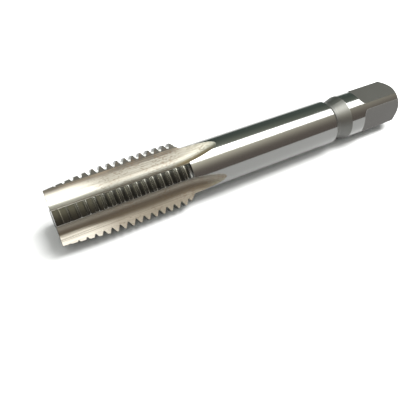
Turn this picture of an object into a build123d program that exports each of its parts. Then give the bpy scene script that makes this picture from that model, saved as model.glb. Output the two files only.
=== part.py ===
from build123d import *
import math
import os

os.makedirs("parts", exist_ok=True)

# Right-hand machine and hand tap for M16 x 2 threads, in millimetres.
# X runs along the tap from its tip to its driving square, and Z is up.
# The origin is on the tap's axis, within the plain shank.

# Lengths along the tap, each from the tip
TAP_LENGTH = 102.0
THREAD_LENGTH = 31.6
SHANK_MIDDLE = 60.0
GROOVE_START = 77.5
GROOVE_END = 83.0
SQUARE_LENGTH = 13.0

# Thread, with its flats at root and crest
THREAD_D = 16.2
THREAD_PITCH = 2.0
THREAD_DEPTH = 1.25
THREAD_ANGLE = 60.0
ROOT_FLAT = 0.25
THREAD_END_BEVEL = 2.0
THREAD_LEAD_IN = 1.06
THREAD_TURNS = 18

# Tapered lead at the tip, where the teeth start the cut
LEAD_LENGTH = 13.0
LEAD_TIP_D = 13.6

# Shank, ring groove and driving square
SHANK_D = 12.5
GROOVE_DEPTH = 0.92
GROOVE_WALL = 1.0
GROOVE_FLOOR = 1.2
GROOVE_CORNER_R = 0.6
SQUARE_ACROSS_FLATS = 10.0
SQUARE_RUN_OUT_R = 1.6
SQUARE_TURN = -4.0
END_CHAMFER = 1.7

# Straight flutes, milled by a disc cutter
FLUTE_COUNT = 4
LAND_THICKNESS = 3.55
FLUTE_BOTTOM_R = 2.4
FLUTE_FULL_LENGTH = 29.8
FLUTE_WHEEL_R = 30.0

# Centre holes that held the tap for turning and grinding
CENTRE_HOLE_D = 2.0
CENTRE_MOUTH_D = 4.25
CENTRE_ANGLE = 60.0
CENTRE_DEPTH = 4.4

# Places along X
tip_x = -SHANK_MIDDLE
thread_end_x = tip_x + THREAD_LENGTH
groove_start_x = tip_x + GROOVE_START
groove_floor_x = groove_start_x + GROOVE_WALL
groove_slope_x = groove_floor_x + GROOVE_FLOOR
groove_end_x = tip_x + GROOVE_END
drive_end_x = tip_x + TAP_LENGTH
square_start_x = drive_end_x - SQUARE_LENGTH
flute_full_end_x = tip_x + FLUTE_FULL_LENGTH

# Radii, and the shapes of the cutters
crest_r = THREAD_D / 2
root_r = crest_r - THREAD_DEPTH
lead_tip_r = LEAD_TIP_D / 2
shank_r = SHANK_D / 2
groove_r = shank_r - GROOVE_DEPTH
flat_r = SQUARE_ACROSS_FLATS / 2
clearance = 0.15
cutter_top_r = crest_r + clearance
root_half = ROOT_FLAT / 2
cutter_half = root_half + (cutter_top_r - root_r) * math.tan(math.radians(THREAD_ANGLE / 2))
helix_start_x = tip_x - THREAD_LEAD_IN
flute_point_z = LAND_THICKNESS / math.sqrt(2)
flute_bottom_z = flute_point_z + FLUTE_BOTTOM_R * (math.sqrt(2) - 1)
flute_top = crest_r + 1.0 - flute_point_z

# Cutter for one turn of the thread's V-shaped gap
with BuildPart() as thread_cutter:
    with BuildLine() as root_helix:
        Helix(THREAD_PITCH, THREAD_PITCH, root_r, center=(helix_start_x, 0, 0), direction=(1, 0, 0))
    helix_start = root_helix.line @ 0
    outward = Vector(0, helix_start.Y, helix_start.Z).normalized()
    with BuildSketch(Plane(helix_start, x_dir=(1, 0, 0), z_dir=Vector(1, 0, 0).cross(outward))):
        with BuildLine():
            Polyline(
                (-root_half, 0),
                (root_half, 0),
                (cutter_half, cutter_top_r - root_r),
                (-cutter_half, cutter_top_r - root_r),
                close=True,
            )
        make_face()
    sweep(path=root_helix.line, is_frenet=True)

# Cutter for one flute: a rounded V, straight, then rising on the disc cutter's radius
with BuildPart() as flute_cutter:
    with BuildSketch(Plane(origin=(flute_full_end_x, 0, 0), x_dir=(0, 1, 0), z_dir=(1, 0, 0))) as flute_profile:
        with BuildLine():
            Polyline(
                (0, flute_point_z),
                (flute_top, flute_point_z + flute_top),
                (-flute_top, flute_point_z + flute_top),
                close=True,
            )
        make_face()
        fillet(flute_profile.vertices().sort_by(Axis.Y)[0], FLUTE_BOTTOM_R)
    extrude(amount=-(FLUTE_FULL_LENGTH + 1.0))
    wheel_axis = Axis((flute_full_end_x, 0, flute_bottom_z + FLUTE_WHEEL_R), (0, -1, 0))
    revolve(flute_profile.sketch, axis=wheel_axis, revolution_arc=40)

# Cutter for one flat of the square, with the mill's radius at its start
with BuildPart() as flat_cutter:
    with BuildSketch(Plane.XZ) as flat_profile:
        with BuildLine():
            Polyline(
                (square_start_x, flat_r),
                (drive_end_x + 1.0, flat_r),
                (drive_end_x + 1.0, flat_r + SQUARE_RUN_OUT_R),
                (square_start_x - SQUARE_RUN_OUT_R, flat_r + SQUARE_RUN_OUT_R),
            )
            RadiusArc(
                (square_start_x - SQUARE_RUN_OUT_R, flat_r + SQUARE_RUN_OUT_R),
                (square_start_x, flat_r),
                -SQUARE_RUN_OUT_R,
            )
        make_face()
    extrude(amount=shank_r, both=True)

with BuildPart() as tap:
    # Turned blank
    with BuildSketch(Plane.XZ) as blank_profile:
        with BuildLine():
            Polyline(
                (tip_x, 0),
                (tip_x, lead_tip_r),
                (tip_x + LEAD_LENGTH, crest_r),
                (thread_end_x, crest_r),
                (thread_end_x + THREAD_END_BEVEL, shank_r),
                (groove_start_x, shank_r),
                (groove_floor_x, groove_r),
                (groove_slope_x, groove_r),
                (groove_end_x, shank_r),
                (drive_end_x - END_CHAMFER, shank_r),
                (drive_end_x, shank_r - END_CHAMFER),
                (drive_end_x, 0),
                close=True,
            )
        make_face()
        groove_corners = blank_profile.vertices().filter_by_position(
            Axis.X, groove_floor_x, groove_slope_x
        )
        fillet(groove_corners, GROOVE_CORNER_R)
    revolve(axis=Axis.X)

    # Thread, turn by turn, then the flutes that make its teeth
    for turn in range(THREAD_TURNS):
        add(thread_cutter.part.moved(Location((THREAD_PITCH * turn, 0, 0))), mode=Mode.SUBTRACT)
    for flute in range(FLUTE_COUNT):
        add(flute_cutter.part, rotation=(360 / FLUTE_COUNT * flute, 0, 0), mode=Mode.SUBTRACT)

    # Driving square
    for flat in range(4):
        add(flat_cutter.part, rotation=(SQUARE_TURN + 90 * flat, 0, 0), mode=Mode.SUBTRACT)

    # Centre holes
    tip_face = Plane(origin=(tip_x, 0, 0), z_dir=(-1, 0, 0))
    drive_face = Plane(origin=(drive_end_x, 0, 0), z_dir=(1, 0, 0))
    with Locations(tip_face, drive_face):
        CounterSinkHole(CENTRE_HOLE_D / 2, CENTRE_MOUTH_D / 2, CENTRE_DEPTH, CENTRE_ANGLE)

tap.part.label = "thread_tap"
export_step(tap.part, "parts/thread_tap.step")
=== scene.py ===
import math

import bmesh
import bpy
from mathutils import Matrix

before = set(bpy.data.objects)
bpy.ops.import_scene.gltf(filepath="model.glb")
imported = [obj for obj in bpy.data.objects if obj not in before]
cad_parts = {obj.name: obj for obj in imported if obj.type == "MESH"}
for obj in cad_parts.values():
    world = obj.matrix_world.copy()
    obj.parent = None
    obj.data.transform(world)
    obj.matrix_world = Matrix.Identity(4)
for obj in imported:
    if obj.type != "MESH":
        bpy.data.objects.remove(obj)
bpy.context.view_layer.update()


# The tap
# One bar of tool steel, turned, threaded and fluted, hardened, then ground. Each job leaves its own
# finish, and much of the colour below is painted light and shade, so the one material is worked out
# region by region, in millimetres: x runs along the axis from the cutting tip, y to the far side and z
# up.

class Shade:
    """A value in a material's nodes. Sums on it add Math nodes."""

    def __init__(self, tree, socket=None):
        self.tree = tree
        self.socket = socket

    def node(self, kind, settings=None, inputs=None, output=0):
        made = self.tree.nodes.new(kind)
        for name, setting in (settings or {}).items():
            setattr(made, name, setting)
        for name, value in (inputs or {}).items():
            if isinstance(value, Shade):
                self.tree.links.new(value.socket, made.inputs[name])
            else:
                made.inputs[name].default_value = value
        return Shade(self.tree, made.outputs[output] if made.outputs else None)

    def maths(self, operation, *values):
        return self.node("ShaderNodeMath", {"operation": operation}, dict(enumerate(values)))

    def __add__(self, other):
        return self.maths("ADD", self, other)

    def __radd__(self, other):
        return self.maths("ADD", other, self)

    def __sub__(self, other):
        return self.maths("SUBTRACT", self, other)

    def __rsub__(self, other):
        return self.maths("SUBTRACT", other, self)

    def __mul__(self, other):
        return self.maths("MULTIPLY", self, other)

    def __rmul__(self, other):
        return self.maths("MULTIPLY", other, self)

    def __truediv__(self, other):
        return self.maths("DIVIDE", self, other)

    def __pow__(self, other):
        return self.maths("POWER", self, other)

    def __abs__(self):
        return self.maths("ABSOLUTE", self)

    def step(self, low, high):
        return self.node(
            "ShaderNodeMapRange",
            {"interpolation_type": "SMOOTHSTEP"},
            {"Value": self, "From Min": low, "From Max": high},
        )

    def between(self, rise, fall):
        return self.step(*rise) * (1 - self.step(*fall))

    def noise(self, stretch, scale, detail=3.0):
        placed = self.node("ShaderNodeMapping", None, {"Vector": self, "Scale": stretch})
        return self.node("ShaderNodeTexNoise", None, {"Vector": placed, "Scale": scale, "Detail": detail})

    def mix(self, colour_a, colour_b):
        return self.node(
            "ShaderNodeMix", {"data_type": "RGBA"}, {0: self, 6: colour_a, 7: colour_b}, output=2
        )


MM = 0.001
TIP_X = -60.0
THREAD_END_X = -26.4
SHANK_R = 6.25
LAND_HALF = 1.775
UPPER_SIDE_Z = (0.5, 1.5)
TIP_FADE = (-56.0, -45.0)

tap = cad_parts["thread_tap"]
steel = bpy.data.materials.new("tool_steel")
steel.use_nodes = True
steel.node_tree.nodes.clear()
shade = Shade(steel.node_tree)
place = shade.node("ShaderNodeTexCoord", output=3)
along = shade.node("ShaderNodeSeparateXYZ", None, {0: place}, 0) / MM
across = shade.node("ShaderNodeSeparateXYZ", None, {0: place}, 1) / MM
height = shade.node("ShaderNodeSeparateXYZ", None, {0: place}, 2) / MM
radius = (across * across + height * height) ** 0.5
around = height.maths("ARCTAN2", height, across)

below_skin = 1 - radius.step(SHANK_R - 0.06, SHANK_R - 0.02)
threaded_length = 1 - along.step(THREAD_END_X - 0.1, THREAD_END_X)
land_a = abs(across + height) / math.sqrt(2)
land_b = abs(height - across) / math.sqrt(2)
off_land = land_a.maths("MINIMUM", land_a, land_b).step(LAND_HALF - 0.03, LAND_HALF - 0.01)
near_tip = 1 - along.step(*TIP_FADE)
upper = height.step(*UPPER_SIDE_Z)
patchy = place.noise((1, 1, 1), 250.0)


# The plain shank
# Ground round between centres and polished, so it mirrors the lamps and the room. Only the finest
# marks run around it.
SHANK_STEEL = (0.165, 0.165, 0.161, 1)
POLISHED = 0.1
PATCHY_MATT = 0.05
TURNED_DEPTH = 0.002

turned = place.noise((6000, 300, 300), 1.0)


# The threaded lands
# Four strips of thread, of 2 mm pitch, left standing between the flutes. Their colours are mostly
# painted light and shade: painted highlights on the flanks, painted shade on the flanks near the crest
# and in the roots, with a thin darker painted line along each root, and the crests coloured near black.
# Across a turn, 0 is the middle of a crest and half a turn is a root.
PITCH = 2.0
CREST_PHASE = 0.70
LEAD_TIP_R = 6.8
LEAD_SLOPE = 0.1
FULL_CREST_R = 8.1
ROOT_R = (6.9, 6.98)
HIGH_FLANK_R = (7.2, 7.4)
LEAD_END = (-51.0, -46.0)
FIRST_TURN_END = (-57.5, -56.5)
ROOT_SHADE_BAND = ((-0.49, -0.47), (-0.45, -0.43))
SHALLOW_HIGHLIGHT_BAND = ((-0.30, -0.28), (-0.25, -0.23))
CREST_DARK = (0.027, 0.027, 0.025, 1)
LEAD_CREST = (0.045, 0.044, 0.037, 1)
ROOT_SHADE = (0.085, 0.085, 0.079, 1)
ROOT_SHADE_LINE = (0.03, 0.03, 0.026, 1)
FLANK_LOW_LIT = (0.55, 0.55, 0.52, 1)
FLANK_HIGH_SHADE = (0.055, 0.055, 0.050, 1)
FLANK_HIGHLIGHT = (0.37, 0.37, 0.345, 1)
SHALLOW_HIGHLIGHT_SHARE = 0.4
THREAD_MATT = 0.09

thread = threaded_length * (1 - off_land)
turn = along / PITCH - around / (2 * math.pi) - CREST_PHASE
from_crest = turn - turn.maths("ROUND", turn)
crest_radius = along.maths("MINIMUM", LEAD_TIP_R + LEAD_SLOPE * (along - TIP_X), FULL_CREST_R)
crest_colour = along.step(*LEAD_END).mix(LEAD_CREST, CREST_DARK)
# Painted light and shade on the flanks: one side of each tooth carries a painted highlight, the other is
# painted light low down and painted shade near the crest.
flank_light_and_shade = radius.step(*HIGH_FLANK_R).mix(FLANK_LOW_LIT, FLANK_HIGH_SHADE)
flank_light_and_shade = from_crest.step(0.0, 0.01).mix(flank_light_and_shade, FLANK_HIGHLIGHT)
# Painted shade in the roots.
thread_colour_and_shade = radius.step(*ROOT_R).mix(ROOT_SHADE, flank_light_and_shade)
# The crests are coloured near black.
thread_colour_and_shade = radius.step(crest_radius - 0.12, crest_radius - 0.07).mix(thread_colour_and_shade, crest_colour)
# A thin line of painted shade along each root.
root_shade_line = from_crest.between(*ROOT_SHADE_BAND)
thread_colour_and_shade = root_shade_line.mix(thread_colour_and_shade, ROOT_SHADE_LINE)

# The first turn at the tip is too shallow to show its flanks, and has one faint painted highlight.
first_turn = 1 - along.step(*FIRST_TURN_END)
shallow_highlight = from_crest.between(*SHALLOW_HIGHLIGHT_BAND)
thread_colour_and_shade = (SHALLOW_HIGHLIGHT_SHARE * first_turn * shallow_highlight).mix(thread_colour_and_shade, FLANK_HIGHLIGHT)


# The flutes
# Four grooves ground along the tap with a rounded wheel, which runs out on its own curve past the
# thread. Each has a rounded heel, a bottom and a flat cutting face with lengthwise scratches.
# The bands follow each other across a flute, from the heel, which is negative, to the cutting face.
# They are mostly painted light and shade: the heel side, mottled at random, the shoulder, the bottom
# and the corner before the cutting face are painted shade, the ground band a painted highlight, and
# the upper flutes are painted lighter than the lower ones.
HEEL_TO_GROUND = (-3.2, -2.1)
GROUND_TO_SHOULDER = (-1.8, -1.4)
SHOULDER_TO_BOTTOM = (-1.2, -0.1)
BOTTOM_TO_CORNER = (0.2, 1.4)
CORNER_TO_CUTTING = (1.9, 2.6)
TIP_SHIFT = (0.4, 0.3)
SCRATCHES_END = (2.4, 3.6)
TOOTH_SIDE_R = (6.6, 6.85)
RUN_OUT_END = (0.0, 1.0)
RUN_OUT_CORNER = (-24.0, -17.0)
RUN_OUT_HIGHLIGHT_RISE = (-30.0, -20.0)
STRAW_BAND = ((-31.0, -26.0), (-21.0, -17.0))
TAN_FADE = (-50.0, -36.0)
# Most of these are lit and shaded copies of the ground steel: painted light and shade across a flute. The
# dark one also colours the real streaks and scratches.
HEEL_EDGE = (0.085, 0.08, 0.072, 1)
HEEL_SIDE = (0.19, 0.160, 0.130, 1)
TOOTH_SIDE_SHADE = (0.060, 0.062, 0.060, 1)
GROUND_LIT = (0.33, 0.325, 0.30, 1)
GROUND_HIGHLIGHT = (0.80, 0.79, 0.765, 1)
FLUTE_SHOULDER = (0.20, 0.192, 0.17, 1)
FLUTE_BOTTOM_SHADE = (0.18, 0.163, 0.135, 1)
UPPER_BOTTOM_LIT = (0.30, 0.293, 0.27, 1)
FLUTE_SHADE_AND_MARKS = (0.125, 0.108, 0.088, 1)
CUTTING_FACE = (0.37, 0.345, 0.31, 1)
CUTTING_TAN = (0.255, 0.235, 0.203, 1)
RUN_OUT = (0.30, 0.30, 0.255, 1)
RUN_OUT_HIGHLIGHT = (0.75, 0.75, 0.69, 1)
STRAW = (0.32, 0.25, 0.14, 1)
SPECKLE = (0.12, 0.085, 0.06, 1)
RUN_OUT_HIGHLIGHT_SHARE = 0.35
STRAW_SHARE = 0.75
STREAK_SHARE = 0.3
SPECKLE_SHARE = 0.5
FLUTE_MATT = 0.34
STREAK_MATT = 0.12
LENGTHWISE_DEPTH = 0.5

run_out = (1 - threaded_length) * (1 - along.step(*RUN_OUT_END)) * below_skin
flute = threaded_length * off_land + run_out
quarter_turn = around / (math.pi / 2)
from_middle = (quarter_turn - quarter_turn.maths("ROUND", quarter_turn)) * (math.pi / 2)
across_flute = radius * from_middle.maths("SINE", from_middle)

lengthwise = place.noise((60, 4000, 4000), 1.0)
streaks = lengthwise.step(0.3, 0.7)
scratches = place.noise((25, 7000, 7000), 1.0, 1.0).step(0.62, 0.66)
speckle = place.noise((0.5, 1, 1), 3000.0, 1.0).step(0.5, 0.66) * patchy.step(0.35, 0.6)

# Painted light and shade across each flute; near the tip the upper flutes get a painted highlight.
lit_tip = near_tip * upper
heel_shade = (patchy * 0.8 + streaks * 0.2).step(0.3, 0.7).mix(HEEL_SIDE, HEEL_EDGE)
bright = lit_tip.mix(GROUND_LIT, GROUND_HIGHLIGHT)
shoulder = lit_tip.mix(FLUTE_SHOULDER, GROUND_HIGHLIGHT)
bottom = upper.mix(FLUTE_BOTTOM_SHADE, UPPER_BOTTOM_LIT)
corner = along.step(*RUN_OUT_CORNER).mix(FLUTE_SHADE_AND_MARKS, RUN_OUT)
cutting = along.step(*TAN_FADE).mix(CUTTING_FACE, CUTTING_TAN)
# Near the tip the cutting faces get a painted highlight.
cutting = near_tip.mix(cutting, GROUND_HIGHLIGHT)
cutting = (scratches * (1 - across_flute.step(*SCRATCHES_END))).mix(cutting, FLUTE_SHADE_AND_MARKS)
cutting_start = CORNER_TO_CUTTING[0] - TIP_SHIFT[0] * near_tip
cutting_end = CORNER_TO_CUTTING[1] - TIP_SHIFT[1] * near_tip

# Painted shade on the tooth sides at the heel's edge, then the painted bands across the flute.
flute_colour_and_shade = radius.step(*TOOTH_SIDE_R).mix(heel_shade, TOOTH_SIDE_SHADE)
flute_colour_and_shade = across_flute.step(*HEEL_TO_GROUND).mix(flute_colour_and_shade, bright)
flute_colour_and_shade = across_flute.step(*GROUND_TO_SHOULDER).mix(flute_colour_and_shade, shoulder)
flute_colour_and_shade = across_flute.step(*SHOULDER_TO_BOTTOM).mix(flute_colour_and_shade, bottom)
flute_colour_and_shade = across_flute.step(*BOTTOM_TO_CORNER).mix(flute_colour_and_shade, corner)
flute_colour_and_shade = across_flute.step(cutting_start, cutting_end).mix(flute_colour_and_shade, cutting)

# Where the wheel leaves the upper flutes, the heel side carries a painted highlight and the other
# side was warmed to a straw tint.
highlit_end = upper * along.step(*RUN_OUT_HIGHLIGHT_RISE) * (1 - across_flute.step(-0.3, 0.6))
straw_end = upper * across_flute.step(-0.4, 0.4) * along.between(*STRAW_BAND)
flute_colour_and_shade = (RUN_OUT_HIGHLIGHT_SHARE * highlit_end).mix(flute_colour_and_shade, RUN_OUT_HIGHLIGHT)
flute_colour_and_shade = (STRAW_SHARE * straw_end).mix(flute_colour_and_shade, STRAW)
flute_colour_and_shade = (STREAK_SHARE * streaks).mix(flute_colour_and_shade, FLUTE_SHADE_AND_MARKS)
flute_colour_and_shade = (SPECKLE_SHARE * speckle * (1 - near_tip)).mix(flute_colour_and_shade, SPECKLE)


# The ring groove, the square and the tip's face
# The groove is blasted matt, the square's flats are ground and left satin, with the lower flats
# painted darker in shade, and the tip's face is painted in shade.
GROOVE_START = (17.5, 17.55)
GROOVE_END = (22.9, 23.0)
FLATS_START = (24.3, 25.3)
TOP_FLAT = (2.0, 4.0)
TIP_FACE_END = (-59.97, -59.95)
GROOVE_STEEL = (0.097, 0.097, 0.092, 1)
FLAT_TOP = (0.094, 0.091, 0.086, 1)
FLAT_LOW_SHADE = (0.090, 0.087, 0.084, 1)
TIP_FACE_SHADE = (0.035, 0.034, 0.033, 1)
GROOVE_MATT = 0.36
FLATS_MATT = 0.42
BLASTED_DEPTH = 0.05

groove = along.between(GROOVE_START, GROOVE_END)
flats = along.step(*FLATS_START) * below_skin * (1 - groove)
# The lower flats are painted a little darker, as painted shade.
flat_colour_and_shade = height.step(*TOP_FLAT).mix(FLAT_LOW_SHADE, FLAT_TOP)
tip_face = 1 - along.step(*TIP_FACE_END)
blasted = place.noise((1, 1, 1), 6000.0, 2.0)


# The tap's steel
# The regions laid over the polished shank, with how rough each is and how deep its marks are. The
# heights of the marks are shares of a tenth of a millimetre.
MARK_DEPTH = 0.0001

colour = thread.mix(SHANK_STEEL, thread_colour_and_shade)
colour = flute.mix(colour, flute_colour_and_shade)
colour = groove.mix(colour, GROOVE_STEEL)
# Painted shade on the tip's face.
colour = tip_face.mix(colour, TIP_FACE_SHADE)
colour = flats.mix(colour, flat_colour_and_shade)

roughness = POLISHED + PATCHY_MATT * patchy + THREAD_MATT * thread
roughness = roughness + flute * (FLUTE_MATT + STREAK_MATT * lengthwise)
roughness = roughness + groove * GROOVE_MATT + flats * FLATS_MATT

marks = flute * lengthwise * LENGTHWISE_DEPTH
marks = marks + turned * (1 - flute) * TURNED_DEPTH
marks = marks + blasted * (groove + flats) * BLASTED_DEPTH
bump = shade.node(
    "ShaderNodeBump", None, {"Strength": 1.0, "Distance": MARK_DEPTH, "Height": marks}
)
surface = shade.node(
    "ShaderNodeBsdfPrincipled",
    None,
    {"Base Color": colour, "Metallic": 1.0, "Roughness": roughness, "Normal": bump},
)
shade.node("ShaderNodeOutputMaterial", None, {"Surface": surface})
tap.material_slots[0].material = steel


# The floor
# A wide sheet of white paper. The tap lies on two of its lands and on its shank's end, so the sheet
# leans a little against its axis.
PAPER_WHITE = (0.88, 0.885, 0.88, 1)
SHEET_HALF = 2.0
LAND_CORNER_Z = -6.87
LAND_CONTACT_X = -28.5
SHANK_CONTACT_X = 27.4

lean = (LAND_CORNER_Z + SHANK_R) / (SHANK_CONTACT_X - LAND_CONTACT_X)
sheet_z = (LAND_CORNER_Z - lean * LAND_CONTACT_X) * MM
sheet = bmesh.new()
bmesh.ops.create_grid(sheet, x_segments=1, y_segments=1, size=SHEET_HALF)
bmesh.ops.rotate(sheet, verts=sheet.verts, matrix=Matrix.Rotation(math.atan(lean), 3, "Y"))
bmesh.ops.translate(sheet, verts=sheet.verts, vec=(0, 0, sheet_z))
floor_mesh = bpy.data.meshes.new("floor")
sheet.to_mesh(floor_mesh)
sheet.free()
floor = bpy.data.objects.new("floor", floor_mesh)
bpy.context.collection.objects.link(floor)

paper = bpy.data.materials.new("white_paper")
paper.use_nodes = True
paper.node_tree.nodes.clear()
paper_shade = Shade(paper.node_tree)
paper_surface = paper_shade.node(
    "ShaderNodeBsdfPrincipled", None, {"Base Color": PAPER_WHITE, "Roughness": 0.95}
)
paper_shade.node("ShaderNodeOutputMaterial", None, {"Surface": paper_surface})
floor_mesh.materials.append(paper)


# The lamps
# Two softboxes end to end, high up beyond the square and in line with the tap. The nearer one is
# the brighter, and the two make the bright bands along the shank.
LAMP_Y = -0.04
LAMP_Z = 0.6
SOFTBOX_WIDTH = 0.355
SOFTBOXES = (
    ("near_softbox", 0.22, 0.36, 6.0),
    ("far_softbox", 0.56, 0.32, 3.6),
)

for name, centre_x, length, power in SOFTBOXES:
    softbox = bpy.data.lights.new(name, "AREA")
    softbox.shape = "RECTANGLE"
    softbox.size = length
    softbox.size_y = SOFTBOX_WIDTH
    softbox.energy = power
    lamp = bpy.data.objects.new(name, softbox)
    bpy.context.collection.objects.link(lamp)
    lamp.location = (centre_x, LAMP_Y, LAMP_Z)


# The room
# Dim all round, greenish behind the tap and brown in front, and brighter towards the ceiling. The
# paper gets its own grey fill from it, and the camera sees it as a pale wall.
LOW_FRONT = (0.50, 0.43, 0.38, 1)
LOW_BACK = (0.235, 0.30, 0.265, 1)
CEILING_FRONT = (4.9, 4.7, 3.8, 1)
CEILING_BACK = (1.18, 1.26, 1.0, 1)
FILL_FRONT = (1.5, 1.52, 1.48, 1)
FILL_BACK = (0.45, 0.46, 0.45, 1)
FILL_LOW = (0.03, 0.03, 0.03, 1)
PALE_WALL = (0.9, 0.9, 0.9, 1)
CAMERA_RAY = 0
DIFFUSE_RAY = 2

room = bpy.data.worlds.new("dim_room")
bpy.context.scene.world = room
room.use_nodes = True
room.node_tree.nodes.clear()
air = Shade(room.node_tree)
direction = air.node("ShaderNodeTexCoord", output=0)
to_back = air.node("ShaderNodeSeparateXYZ", None, {0: direction}, 1)
upward = air.node("ShaderNodeSeparateXYZ", None, {0: direction}, 2)
low_colour = to_back.step(-0.2, 0.2).mix(LOW_FRONT, LOW_BACK)
ceiling_colour = to_back.step(-0.7, 0.3).mix(CEILING_FRONT, CEILING_BACK)
room_colour = (upward.maths("MAXIMUM", upward, 0.0) ** 4.0).mix(low_colour, ceiling_colour)
fill_colour = to_back.step(-0.5, 0.5).mix(FILL_FRONT, FILL_BACK)
fill_colour = upward.step(0.3, 0.9).mix(FILL_LOW, fill_colour)
bounced = air.node("ShaderNodeLightPath", output=DIFFUSE_RAY)
seen = air.node("ShaderNodeLightPath", output=CAMERA_RAY)
room_colour = bounced.mix(room_colour, fill_colour)
room_colour = seen.mix(room_colour, PALE_WALL)
background = air.node("ShaderNodeBackground", None, {"Color": room_colour, "Strength": 1.0})
air.node("ShaderNodeOutputWorld", None, {"Surface": background})


# The camera
# It looks down on the tap from in front of its tip.
lens = bpy.data.cameras.new("camera")
lens.lens = 43.04
lens.shift_x = -0.04
lens.shift_y = -0.04
lens.clip_start = 0.005
camera = bpy.data.objects.new("camera", lens)
bpy.context.collection.objects.link(camera)
camera.location = (-0.06389, -0.07936, 0.08363)
camera.rotation_euler = [math.radians(angle) for angle in (44.905, -1.484, -28.999)]
bpy.context.scene.camera = camera
bpy.context.scene.view_settings.view_transform = "Standard"
